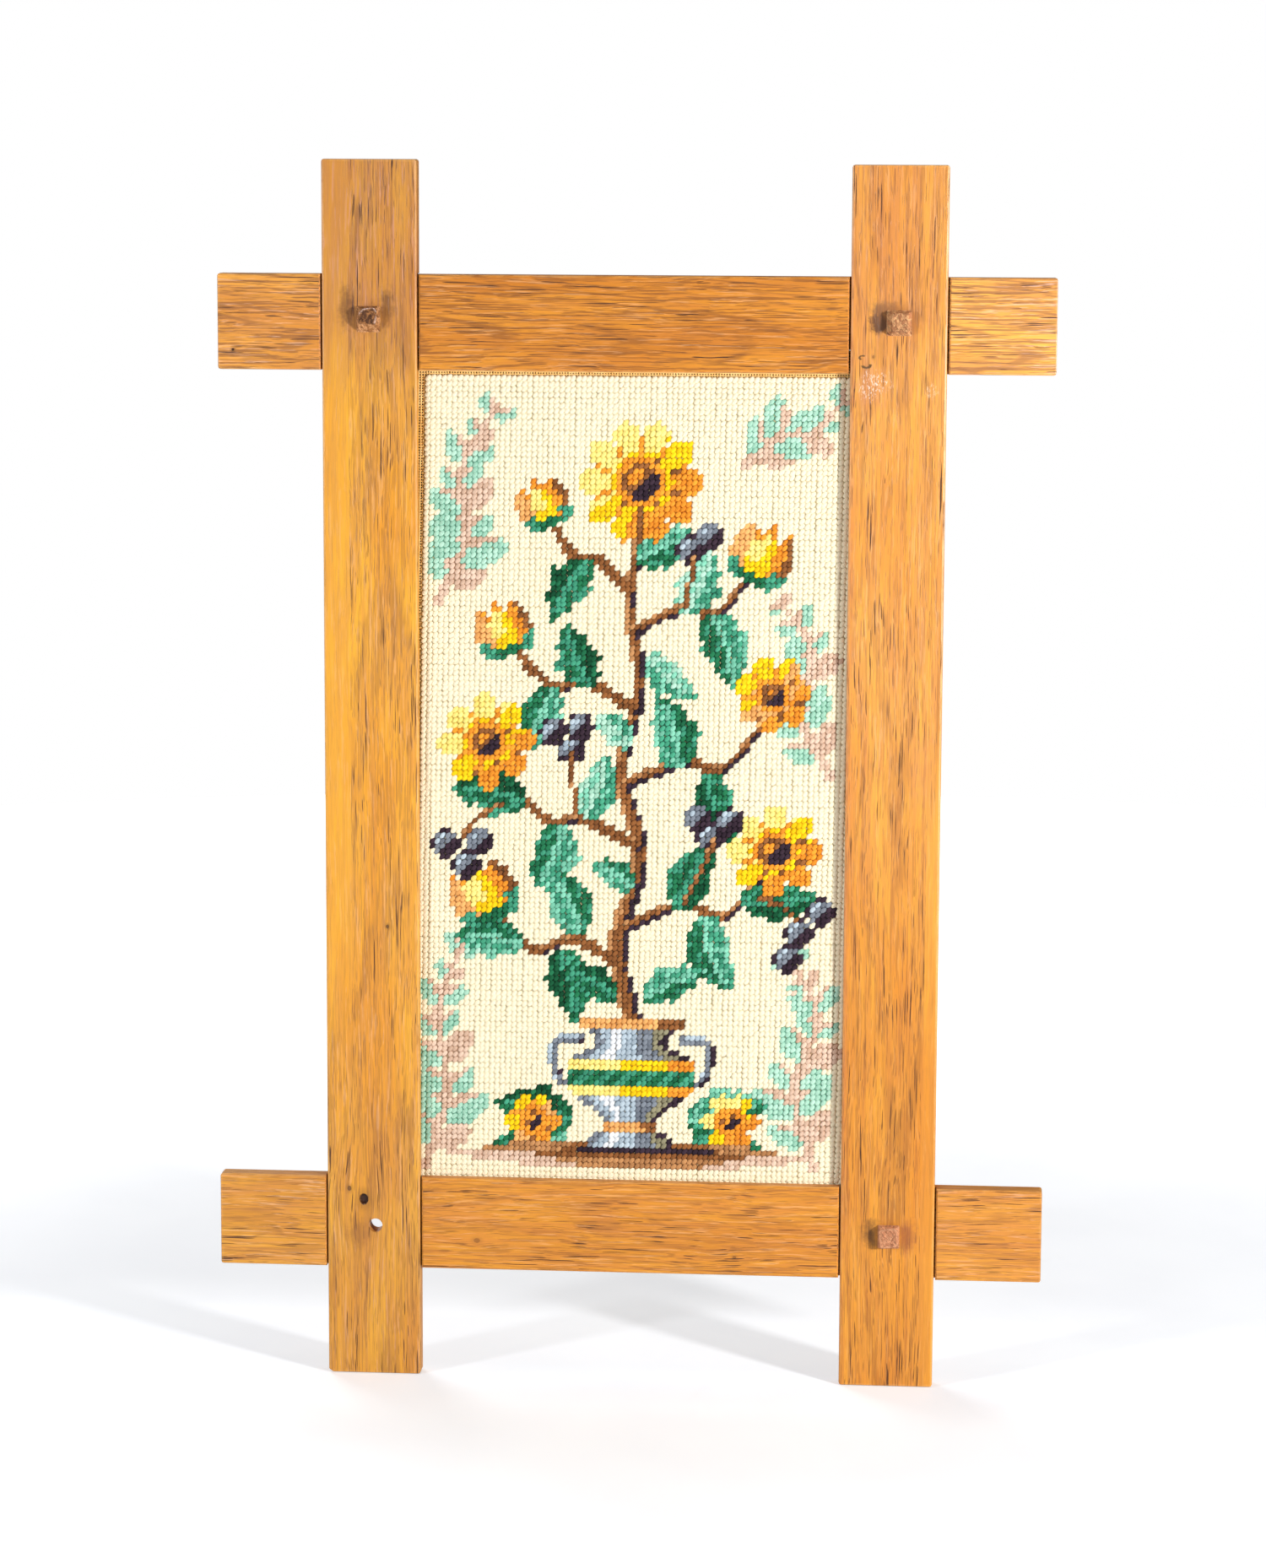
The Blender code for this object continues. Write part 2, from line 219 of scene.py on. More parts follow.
def oak_grain_group():
    """Oak in the round: rings about a pith, rows of long open pores, ray flecks and fine fibre. Z runs
    along the grain."""
    make, given, result = new_group(
        "oak_grain",
        [("Place", "vector"), ("Pith", "vector"), ("Lean", "vector"), ("Honey", "colour"), ("Deep", "colour"),
         ("Fleck", "colour"), ("Pore", "colour"), ("Pore Strength", "value"), ("Line Strength", "value"),
         ("Ring Width", "value")],
        [("Color", "colour"), ("Roughness", "value"), ("Height", "value")],
    )
    place = given["Place"]
    drift = make.streaks(place, (26, 26, 7), 2.0)
    flutter = make.streaks(place, (150, 150, 45), 2.0)
    sway = (drift - 0.5) * 0.006 + (flutter - 0.5) * 0.0012
    wavy = make.vector("ADD", place, make.join(sway, sway, 0.0))
    along = make.split(place)[2]
    lean = make.vector("MULTIPLY", given["Lean"], make.join(along, along, along))
    heart = make.vector("ADD", given["Pith"], lean)
    flat = make.vector("MULTIPLY", make.vector("SUBTRACT", wavy, heart), (1, 1, 0))
    phase = make.maths("FRACT", make.length(flat) / given["Ring Width"])
    early = make.ramp(phase, 0.0, 0.14) * make.ramp(phase, 0.62, 0.34)
    pore_rows = early * 0.1 + 0.18
    long_pores = make.cells(wavy, (1120, 1120, 23))
    long_mask = make.ramp(long_pores - pore_rows, 0.03, -0.03)
    fine_pores = make.cells(wavy, (1500, 1500, 62))
    fine_mask = make.ramp(fine_pores - pore_rows, 0.06, -0.06)
    uneven = make.ramp(make.streaks(place, (170, 170, 30)), 0.42, 0.58, 0.25, 1.0)
    pores = make.maths("MAXIMUM", long_mask * uneven, fine_mask * 0.42) * given["Pore Strength"]
    fibre = make.streaks(wavy, (2400, 2400, 70), 3.0, 0.6)
    line = make.ramp(make.streaks(wavy, (1050, 1050, 20), 3.0, 0.7), 0.50, 0.58)
    line = line * given["Line Strength"]
    streak = make.ramp(make.streaks(wavy, (420, 420, 15), 4.0, 0.65), 0.44, 0.60)
    broken = make.ramp(make.streaks(place, (170, 170, 30), 3.0), 0.40, 0.60, 0.1, 0.85)
    vein = make.ramp(make.maths("ABSOLUTE", phase - 0.5), 0.16, 0.04)
    vein = vein * broken * given["Line Strength"]
    broad = make.ramp(make.streaks(place, (45, 45, 9), 4.0), 0.32, 0.68)
    middling = make.mix(0.55, given["Fleck"], given["Pore"])
    wood = make.mix(broad, given["Honey"], given["Deep"])
    wood = make.mix(streak * 0.42, wood, given["Fleck"])
    wood = make.mix(early * 0.25, wood, given["Fleck"])
    wood = make.mix(line, wood, middling)
    wood = make.mix(vein, wood, middling)
    wood = make.mix(make.ramp(fibre, 0.3, 0.7, 0.0, 0.20), wood, middling)
    pale = make.ramp(make.streaks(wavy, (900, 900, 34), 3.0, 0.7), 0.56, 0.64, 0.0, 0.32)
    wood = make.mix(pale, wood, dye(240, 184, 128))
    wood = make.mix(pores, wood, given["Pore"])
    make.send(wood, result["Color"])
    make.send(pores * 0.3 + fibre * 0.16 + 0.34, result["Roughness"])
    make.send(fibre * 0.18 - pores - early * 0.1, result["Height"])
    return make.tree


def knot_swirl_group():
    """Bows the grain round a small knot, and marks where the knot is."""
    make, given, result = new_group(
        "knot_swirl",
        [("Place", "vector"), ("Centre", "vector"), ("Size", "value"), ("Swirl", "value")],
        [("Place", "vector"), ("Knot", "value"), ("Rim", "value")],
    )
    away = make.vector("SUBTRACT", given["Place"], given["Centre"])
    rag = make.noise(given["Place"], 900.0) * 0.5
    ragged = make.length(make.vector("MULTIPLY", away, (1, 0, 0.8))) / given["Size"] + rag
    make.send(make.ramp(ragged, 1.25, 0.95), result["Knot"])
    make.send(make.ramp(ragged, 2.6, 1.2), result["Rim"])
    reach = make.length(make.vector("MULTIPLY", away, (1, 0, 0.35))) / (given["Size"] * 3.2)
    push = make.maths("EXPONENT", reach * reach * -1.0) * (given["Swirl"] * -1.0)
    moved = make.vector("MULTIPLY", make.vector("MULTIPLY", away, (1, 0, 0)), make.join(push, push, push))
    make.send(make.vector("ADD", given["Place"], moved), result["Place"])
    return make.tree


def arris_rub_and_highlight_group():
    """Rubbed edges and corners with a painted highlight, from how near a point is to two faces at once; and
    the end faces.
    """
    make, given, result = new_group(
        "arris_rub_and_highlight",
        [("Place", "vector"), ("Centre", "vector"), ("Half Size", "vector"), ("Width", "value")],
        [("Rub And Highlight", "value"), ("End", "value")],
    )
    away = make.vector("ABSOLUTE", make.vector("SUBTRACT", given["Place"], given["Centre"]))
    inside = make.split(make.vector("SUBTRACT", given["Half Size"], away))
    patchy = make.noise(given["Place"], 140.0, 4.0, 0.65)
    width = given["Width"] * make.ramp(patchy, 0.3, 0.7, 0.35, 1.5)
    close = [gap / width for gap in inside]
    pairs = [make.maths("MAXIMUM", close[a], close[b]) for a, b in ((0, 1), (1, 2), (0, 2))]
    nearest = make.maths("MINIMUM", make.maths("MINIMUM", pairs[0], pairs[1]), pairs[2])
    make.send(make.ramp(nearest, 1.1, 0.2), result["Rub And Highlight"])
    make.send(make.ramp(inside[2], 0.0004, 0.0001), result["End"])
    return make.tree


def wool_ply_group():
    """Two-ply tapestry wool: a twist along each stitch, soft fibre, a tone of each stitch's own, and painted
    shade.
    """
    make, given, result = new_group(
        "wool_ply",
        [("Stitch", "vector"), ("Place", "vector"), ("Dye", "colour"), ("Shadow", "colour"),
         ("Own Tone", "value"), ("Uneven", "value"), ("Depth", "value")],
        [("Color", "colour"), ("Height", "value")],
    )
    stitch = make.split(given["Stitch"])
    twist = stitch[0] * 0.9 + stitch[1] * 2.3 + given["Own Tone"]
    ply = make.maths("ABSOLUTE", make.maths("SINE", twist * math.pi))
    fluff = make.noise(given["Place"], 5200.0, 3.0, 0.7)
    lot = make.noise(given["Place"], 42.0, 3.0)
    # Painted shade: in the groove between the plies, and darker towards each stitch's foot, deep between the
    # stitches
    groove_shade = make.ramp(ply, 0.34, 0.02, 0.0, 0.55)
    tone = given["Own Tone"] * 0.55 + lot * 0.6
    tone = make.ramp(tone, 0.25, 0.95) * given["Uneven"]
    foot_shade = make.ramp(given["Depth"], 0.24, 0.85)
    tone_and_shade = groove_shade * 0.4 + tone + make.ramp(fluff, 0.35, 0.7, 0.0, 0.14) + foot_shade
    tone_and_shade = make.maths("MINIMUM", tone_and_shade, 1.0)
    make.send(make.mix(tone_and_shade, given["Dye"], given["Shadow"]), result["Color"])
    make.send(ply + fluff * 0.55, result["Height"])
    return make.tree


def plain_band_group():
    """A band along one edge of a bar, where pores are few: a wavering border, and a fade along the bar."""
    make, given, result = new_group(
        "plain_band",
        [("Place", "vector"), ("Edge", "value"), ("Side", "value"), ("Start", "value"), ("End", "value")],
        [("Still", "value")],
    )
    x, _, z = make.split(given["Place"])
    sway = make.streaks(given["Place"], (60, 60, 14), 2.0) * 0.0022
    inside = (x - given["Edge"]) * given["Side"] + sway
    still = make.ramp(inside, 0.00105, 0.00125) * make.ramp(z, given["Start"], given["End"])
    make.send(still, result["Still"])
    return make.tree


def stain_and_shadow_group():
    """A mark in the wood, for soaked-in staining and for painted shadows alike: a ragged rim, and streaks
    along the grain.
    """
    make, given, result = new_group(
        "stain_and_shadow",
        [("Place", "vector"), ("Grain", "vector"), ("Centre", "vector"), ("Size", "vector"),
         ("Strength", "value")],
        [("Stain And Shadow", "value")],
    )
    blot = make.blot(given["Place"], given["Centre"], given["Size"], 260.0, 1.5, 0.7, given["Strength"])
    soaked = make.ramp(make.streaks(given["Grain"], (900, 900, 60), 2.0), 0.36, 0.58, 0.62, 1.0)
    make.send(blot * soaked, result["Stain And Shadow"])
    return make.tree


def cut_wood_group():
    """Knife-cut wood, dry and open: dark fibres and checks, end grain at the tip, and a worn rim."""
    make, given, result = new_group(
        "cut_wood",
        [("Place", "vector"), ("Rim", "value"), ("Tip", "value"), ("Tip Light", "colour"),
         ("Tip Dark", "colour"), ("Side", "colour"), ("Rim Tint", "colour"), ("Rim Share", "value")],
        [("Color", "colour"), ("Height", "value")],
    )
    place = given["Place"]
    fibre = make.streaks(place, (2400, 500, 2000), 4.0, 0.65)
    blotch = make.noise(place, 620.0, 3.0, 0.6, 0.8)
    slant = make.vector("MULTIPLY", make.join(make.split(place)[2], 0, 0), (0.8, 0, 0))
    check = make.streaks(make.vector("ADD", place, slant), (900, 100, 160), 2.0)
    check = make.ramp(make.maths("ABSOLUTE", check - 0.5), 0.035, 0.01)
    patch = make.streaks(place, (520, 160, 520), 3.0)
    end = make.mix(make.ramp(blotch, 0.38, 0.60), given["Tip Light"], given["Tip Dark"])
    facet = make.mix(make.ramp(patch, 0.42, 0.58), given["Tip Light"], given["Side"])
    wood = make.mix(given["Tip"], facet, end)
    wood = make.mix(make.ramp(fibre, 0.45, 0.72, 0.0, 0.35), wood, dye(120, 70, 44))
    wood = make.mix(check * 0.5, wood, dye(74, 42, 28))
    worn = given["Rim"] * make.ramp(make.noise(place, 1100.0, 2.0), 0.35, 0.6, 0.35, 1.0)
    make.send(make.mix(worn * given["Rim Share"], wood, given["Rim Tint"]), result["Color"])
    make.send(fibre + blotch * 3.0, result["Height"])
    return make.tree


def cotton_group():
    """Golden cotton, aged in patches and hairy with fibre."""
    make, given, result = new_group(
        "cotton", [("Place", "vector")], [("Color", "colour"), ("Fibre", "value")],
    )
    fibre = make.streaks(given["Place"], (2600, 2600, 2600), 3.0, 0.65)
    age = make.noise(given["Place"], 60.0, 4.0, 0.6)
    colour = make.mix(make.ramp(age, 0.3, 0.7), dye(255, 222, 154), dye(242, 192, 108))
    colour = make.mix(make.ramp(fibre, 0.35, 0.75, 0.0, 0.3), colour, dye(206, 150, 76))
    make.send(colour, result["Color"])
    make.send(fibre, result["Fibre"])
    return make.tree


OAK_GRAIN = oak_grain_group()
KNOT_SWIRL = knot_swirl_group()
ARRIS_RUB_AND_HIGHLIGHT = arris_rub_and_highlight_group()
PLAIN_BAND = plain_band_group()
STAIN_AND_SHADOW = stain_and_shadow_group()
CUT_WOOD = cut_wood_group()
WOOL_PLY = wool_ply_group()
COTTON = cotton_group()


# The size in depth of a mark that shows the same at every depth
ALL_DEPTHS = 1e3


def on_face(pair, deep):
    """A place or a size on the face of the frame, given across and up, as a vector."""
    return pair[0], deep, pair[1]


def dress_bar(node, pith, lean, honey, deep, fleck, lines, tones=(), knots=(), stains_and_shadows=(), dents=(),
              scuffs=(), plain=None):
    """Waxed honey oak for one bar: its own pith, tones, plain band, knots, staining, dents, scuffs and
    painted light.
    """
    upright = node.startswith("stile")
    material, shader, make = new_material("oak_" + node, 0.45, 0.42)
    place = make.put("ShaderNodeTexCoord", out=3)
    x, y, z = make.split(place)
    grain = place if upright else make.join(z, y, x)
    low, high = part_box(node)
    order = (0, 1, 2) if upright else (2, 1, 0)
    centre, half = ([span[n] for n in order] for span in ((low + high) / 2, (high - low) / 2))
    edges_and_ends = make.group(ARRIS_RUB_AND_HIGHLIGHT, Place=grain, Centre=centre, Half_Size=half, Width=0.0011)
    dark = None
    for at, size, swirl, strength in knots:
        spot = on_face(at if upright else at[::-1], 0.0)
        swirled = make.group(KNOT_SWIRL, Place=grain, Centre=spot, Size=size, Swirl=swirl)
        grain = swirled["Place"]
        mark = make.maths("MAXIMUM", swirled["Knot"], swirled["Rim"] * 0.3) * strength
        dark = mark if dark is None else make.maths("MAXIMUM", dark, mark)
    still, pore_strength, line_strength = 0.0, 0.95, lines
    if plain:
        edge, side, start, end = plain
        still = make.group(PLAIN_BAND, Place=place, Edge=edge, Side=side, Start=start, End=end)["Still"]
        pore_strength = (1.0 - still * 0.75) * pore_strength
        line_strength = (1.0 - still * 0.7) * line_strength
    oak = make.group(
        OAK_GRAIN, Place=grain, Pith=(*pith, 0.0), Lean=(*lean, 0.0), Honey=dye(*honey), Deep=dye(*deep),
        Fleck=dye(*fleck), Pore=dye(62, 32, 20), Pore_Strength=pore_strength, Line_Strength=line_strength,
        Ring_Width=0.0050 if upright else 0.0024,
    )
    colour = oak["Color"]
    if plain:
        colour = make.mix(still * 0.22, colour, dye(*honey))
    # Each tone multiplies the colour over a span along the bar. On the stiles some paint shade towards the
    # feet, and on the top rail one paints a highlight on the right stub
    for start, end, tone in tones:
        share = make.ramp(z if upright else x, start, end)
        colour = make.mix(share, colour, (*tone, 1.0), "MULTIPLY")
    # Soaked-in staining, and the pegs' cast shadows painted on as dark patches
    for at, size, tint, strength in stains_and_shadows:
        stain_and_shadow = make.group(
            STAIN_AND_SHADOW, Place=place, Grain=grain, Centre=on_face(at, 0), Size=on_face(size, ALL_DEPTHS),
            Strength=strength,
        )
        colour = make.mix(stain_and_shadow["Stain And Shadow"], colour, dye(*tint))
    # Lighter edges: rubbed wood, and a painted highlight where the eased arrises catch the light. Darker end
    # faces.
    colour = make.mix(edges_and_ends["Rub And Highlight"] * 0.3, colour, dye(232, 178, 104))
    colour = make.mix(edges_and_ends["End"] * 0.55, colour, dye(140, 88, 44))
    if dark is not None:
        colour = make.mix(dark, colour, dye(66, 38, 22))
    for at, reach, facing, strength in dents:
        away = make.from_mark(place, on_face(at, 0), (reach, ALL_DEPTHS, reach * 0.62))
        rag = (make.noise(place, 1300.0, 3.0) - 0.5) * 0.7
        off_ring = make.maths("ABSOLUTE", make.length(away) - 0.8 + rag)
        lit = make.vector("DOT_PRODUCT", away, (math.cos(facing), 0, math.sin(facing)), out=1)
        dent = make.ramp(off_ring, 0.42, 0.18) * make.ramp(lit, -0.35, 0.1)
        colour = make.mix(dent * strength, colour, dye(84, 62, 36))
    for at, size, tint, strength in scuffs:
        flecked = make.ramp(make.streaks(place, (1500, 1500, 560), 4.0, 0.7), 0.53, 0.62)
        centre, size = on_face(at, 0), on_face(size, ALL_DEPTHS)
        scuff = make.blot(place, centre, size, 300.0, 1.6, 1.0, strength) * flecked
        colour = make.mix(scuff, colour, dye(*tint))
    make.send(colour, shader.inputs["Base Color"])
    make.send(oak["Roughness"], shader.inputs["Roughness"])
    height = oak["Height"] if dark is None else oak["Height"] - dark * 2.0
    raise_surface(make, shader, height, 0.00016)
    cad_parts[node].material_slots[0].material = material


def peg_finish(name, shift, tip_light, tip_dark, side, rim_tint, rim_share):
    """The cut wood of one peg, in its own tints."""
    material, shader, make = new_material(name, 0.7, 0.25)
    place = make.vector("ADD", make.put("ShaderNodeTexCoord", out=3), (shift, shift, shift))
    rim, tip, _ = make.split(make.put("ShaderNodeUVMap", uv_map="cut"))
    wood = make.group(
        CUT_WOOD, Place=place, Rim=rim, Tip=tip, Tip_Light=dye(*tip_light), Tip_Dark=dye(*tip_dark),
        Side=dye(*side), Rim_Tint=dye(*rim_tint), Rim_Share=rim_share,
    )
    make.send(wood["Color"], shader.inputs["Base Color"])
    raise_surface(make, shader, wood["Height"], 0.0005)
    return material


def yarn_finish(name, light, shadow, uneven):
    """One dye lot of tapestry wool."""
    material, shader, make = new_material("wool_" + name, 0.92, 0.12, sheen=0.25)
    shader.inputs["Sheen Tint"].default_value = light
    stitch = make.put("ShaderNodeUVMap", uv_map="stitch")
    place = make.put("ShaderNodeTexCoord", out=3)
    own = make.put("ShaderNodeNewGeometry", out=8)
    depth = (make.split(place)[1] - WOOL_FACE) / STITCH_HEIGHT
    wool = make.group(
        WOOL_PLY, Stitch=stitch, Place=place, Dye=light, Shadow=shadow, Own_Tone=own, Uneven=uneven,
        Depth=depth,
    )
    make.send(wool["Color"], shader.inputs["Base Color"])
    raise_surface(make, shader, wool["Height"], 0.00016, 0.8)
    return material


chart = np.full((ROWS, COLUMNS), "ivory", dtype=object)
across, down = np.meshgrid(np.arange(COLUMNS) + 0.5, np.arange(ROWS) + 0.5)


def fill(inside, *rules):
    """Work the stitches inside a motif. Each rule is a yarn and where it goes, and covers those before it."""
    for yarn, where in rules:
        chart[inside & where] = yarn


def from_point(place):
    """How far each stitch lies from a point: across, down and straight."""
    dx, dy = across - place[0], down - place[1]
    return dx, dy, np.hypot(dx, dy)


def turned(place, degrees):
    """Each stitch's place along and across a motif that grows from a point at an angle, 0 to the right."""
    angle = math.radians(degrees)
    dx, dy, _ = from_point(place)
    return dx * math.cos(angle) - dy * math.sin(angle), dx * math.sin(angle) + dy * math.cos(angle)


def curve(points):
    """A smooth line through the points, as many short straights."""
    steps = 14
    points = [np.array(p, float) for p in points]
    ends = [2 * points[0] - points[1]] + points + [2 * points[-1] - points[-2]]
    line = []
    for a, b, c, d in zip(ends, ends[1:], ends[2:], ends[3:]):
        for t in np.arange(steps) / steps:
            bow = (2 * a - 5 * b + 4 * c - d) * t**2 + (3 * b - a - 3 * c + d) * t**3
            line.append(0.5 * (2 * b + (c - a) * t + bow))
    return np.array(line + [points[-1]])


def work_stem(points, start, end, tones):
    """A stem that narrows along a smooth line: its lit side, its body and its shaded side."""
    line = curve(points)
    best = np.full(chart.shape, 1e9)
    side = np.zeros(chart.shape)
    along = np.zeros(chart.shape)
    for n, (a, b) in enumerate(zip(line, line[1:])):
        run = b - a
        t = np.clip(((across - a[0]) * run[0] + (down - a[1]) * run[1]) / run.dot(run), 0, 1)
        dx, dy = across - a[0] - t * run[0], down - a[1] - t * run[1]
        far = np.hypot(dx, dy)
        nearer = far < best
        best[nearer] = far[nearer]
        side[nearer] = (dx + dy * 0.8)[nearer]
        along[nearer] = ((n + t) / (len(line) - 1))[nearer]
    half = (start + (end - start) * along) / 2
    lit, body, shaded = tones
    fill(best < half, (body, True), (shaded, side > 0.30 * half + 0.15), (lit, side < -0.45 * half))


def work_leaf(place, degrees, length, width, tones, bend):
    """A pointed leaf with a toothed edge, a pale midrib and side veins."""
    dark, middle, light = tones
    length, width = length * 1.12, width * 1.22
    along, off = turned(place, degrees)
    share = np.clip(along / length, 0, 1)
    off = off - bend * np.sin(math.pi * share)
    saw = 1.0 - 0.26 * ((share * 3) % 1.0)
    half = width / 2 * np.sin(math.pi * share**0.72) ** 0.85 * saw
    out = np.abs(off)
    upper = off < 0
    vein = ((along - 1.1 * out) % (length / 3.4)) < 1.15
    fill(
        (along > 0) & (along < length) & (out < half),
        (middle, upper), (dark, ~upper), (light, upper & vein), (middle, ~upper & vein),
        (light, (out < 0.62) & (share < 0.86)),
        (light, upper & (out > 0.62 * half) & (share > 0.35) & (share < 0.7)),
    )


def work_daisy(place, radius, petals, tones, heart, phase=0.0):
    """An open bloom: rounded petals round a domed heart."""
    pale, bright, warm, edge = tones
    dx, dy, far = from_point(place)
    petal = np.abs(np.cos(np.arctan2(dy, dx) * petals / 2 + phase))
    reach = radius * (0.70 + 0.30 * petal ** 0.7)
    share = far / reach
    light = (-dx - dy) / (far + 0.01)
    fill(
        far < reach,
        (bright, True), (pale, (light > 0.35) & (share > 0.5)), (warm, (light < -0.7) & (share > 0.55)),
        (warm, petal < 0.30), (edge, (petal < 0.20) & (light < 0.2)),
    )
    core = heart * radius
    fill(
        far < core + 1.2,
        (warm, True), ("brown", far < core), ("ink", (far < core) & (light < -0.2)),
        ("amber", (far < core * 0.7) & (light > 0.5)),
    )


def work_tulip(place, degrees, size):
    """A cupped bloom of three petals on its sepals."""
    along, off = turned(place, degrees)
    share = along / size
    cup = size * 0.50 * np.sqrt(np.clip(1 - (share - 0.42) ** 2 / 0.36, 0, 1))
    rim = size * (0.98 - 0.30 * np.abs(((off / size + 0.5) * 3) % 1.0 - 0.5) * 1.7)
    fill(
        (along > 0) & (along < rim) & (np.abs(off) < cup),
        ("yellow", True), ("apricot", off < -0.42 * cup), ("amber", off > 0.38 * cup),
        ("brown", off > 0.72 * cup),
        ("pale_yellow", (np.abs(off + 0.1 * size) < 0.13 * size) & (share > 0.35)),
        ("amber", along > rim - 1.2), ("dark_green", share < 0.16),
        ("teal", (share < 0.30) & (np.abs(off) > 0.55 * cup)),
    )


def work_berry(place, radius):
    """A round dark berry with a cool light on its shoulder."""
    dx, dy, far = from_point(place)
    fill(
        far < radius,
        ("ink", True), ("slate", (far < radius * 0.9) & (dx + dy < 0.1 * radius)),
        ("blue_grey", (far < radius * 0.75) & (dx + dy < -0.45 * radius)),
    )


def work_frond(points, leaflets, reach, tones):
    """A pale frond that stands further back: a fine rib and paired leaflets."""
    rib, leaf, shade = tones
    line = curve(points)
    for n in range(leaflets):
        share = 0.12 + 0.84 * n / (leaflets - 1)
        step = int(share * (len(line) - 2))
        run = line[step + 1] - line[step]
        heading = math.degrees(math.atan2(-run[1], run[0]))
        size = reach * (1.0 - 0.62 * share) * (0.85 + 0.3 * (n % 2))
        for hand in (-1, 1):
            along, off = turned(line[step], heading + hand * 48)
            half = 0.30 * size * np.sin(math.pi * np.clip(along / size, 0, 1)) ** 0.6
            fill(
                (along > 0) & (along < size) & (np.abs(off) < half),
                (leaf if hand > 0 or n % 3 else shade, True), (shade, off * hand > 0.12 * size),
            )
    work_stem(points, 1.7, 1.0, (rib, rib, rib))


def work_urn(middle, top, outline):
    """A footed jar, lit from the left, with a bright band and two small handles."""
    for hand in (-1, 1):
        handle = ((9.5, 4), (14.5, 5), (14, 11), (11.5, 13))
        line = [(middle + hand * out, top + drop) for out, drop in handle]
        work_stem(line, 2.0, 1.6, ("blue_grey", "slate", "ink"))
    for row, half in enumerate(outline):
        count = across[top + row]
        inside = np.abs(count - middle) < half
        share = (count - middle) / half
        tone = np.select(
            [share < -0.80, share < -0.55, share < -0.30, share < 0.15, share < 0.55, share < 0.82],
            ["slate", "blue_grey", "white", "blue_grey", "slate", "olive_grey"],
            "ink",
        )
        if row in (0, 1, 20, 21):
            tone = np.where(share > 0.5, "brown", "apricot")
        if row in (8, 9, 13, 14):
            tone = np.where(share > 0.6, "amber", np.where(share < -0.2, "pale_yellow", "yellow"))
        if 9 < row < 13:
            tone = np.where(np.floor(count + row) % 4 < 2, "dark_green", "teal")
        chart[top + row][inside] = tone[inside]


WOOD = ("tan", "brown", "ink")
GREEN = ("dark_green", "teal", "aqua")
DEEP = ("forest", "dark_green", "teal")
SOFT = ("teal", "aqua", "mist")
GOLD = ("pale_yellow", "yellow", "amber", "brown")
WARM = ("yellow", "apricot", "amber", "brown")
FAR = ("blush", "mist", "blush")

for points, count, reach in (
    ([(2, 150), (6, 136), (4, 120), (9, 106)], 8, 10),
    ([(76, 149), (72, 134), (76, 120), (70, 108)], 8, 10),
    ([(3, 42), (8, 30), (7, 17), (14, 5)], 8, 10),
    ([(77, 74), (71, 62), (73, 50), (66, 41)], 7, 9),
    ([(60, 16), (66, 11), (72, 10), (78, 4)], 6, 9),
):
    work_frond(points, count, reach, FAR)

TRUNK = [(41, 122), (38, 106), (42, 90), (38, 74), (41, 58), (39, 42), (41, 26)]
work_stem(TRUNK, 3.6, 1.8, WOOD)
BRANCHES = [
    [(39, 111), (30, 106), (22, 108), (15, 101)],
    [(40, 103), (50, 99), (58, 101), (65, 93)],
    [(41, 88), (31, 83), (24, 83), (15, 74)],
    [(39, 76), (50, 72), (57, 73), (64, 65)],
    [(40, 62), (31, 57), (25, 58), (17, 51)],
    [(40, 47), (49, 43), (55, 44), (61, 37)],
    [(39, 40), (33, 34), (28, 33), (24, 27)],
]
for line in BRANCHES:
    work_stem(line, 2.2, 1.5, WOOD)

for row in (
    ((31, 105), 118, 13, 8, GREEN, 1.0), ((27, 108), -78, 13, 8, DEEP, -1.0),
    ((20, 107), 175, 12, 7, GREEN, 0.6), ((49, 100), 62, 13, 8, DEEP, -1.0),
    ((54, 101), -70, 14, 8, GREEN, 1.2), ((61, 98), 5, 13, 7, DEEP, 0.8),
    ((31, 83), 72, 12, 7, SOFT, 0.8), ((27, 84), -112, 12, 8, GREEN, -1.0),
    ((20, 80), 170, 13, 8, DEEP, 1.0), ((49, 73), 108, 13, 8, GREEN, 1.0),
    ((54, 74), -66, 13, 7, DEEP, 1.0), ((32, 58), 112, 12, 7, DEEP, -0.8),
    ((25, 58), -108, 12, 7, GREEN, 0.8), ((49, 44), 68, 12, 7, SOFT, 0.8),
    ((54, 44), -72, 13, 8, GREEN, -1.0), ((42, 52), -38, 11, 6, SOFT, 0.6),
    ((31, 34), -120, 12, 7, DEEP, 0.8), ((40, 34), 20, 12, 7, GREEN, -0.8),
    ((38, 117), 152, 11, 6, DEEP, 0.6), ((43, 117), 25, 12, 6, GREEN, -0.6),
    ((40, 69), 140, 9, 5, SOFT, 0.4), ((41, 96), 150, 9, 5, GREEN, 0.4),
):
    work_leaf(*row)

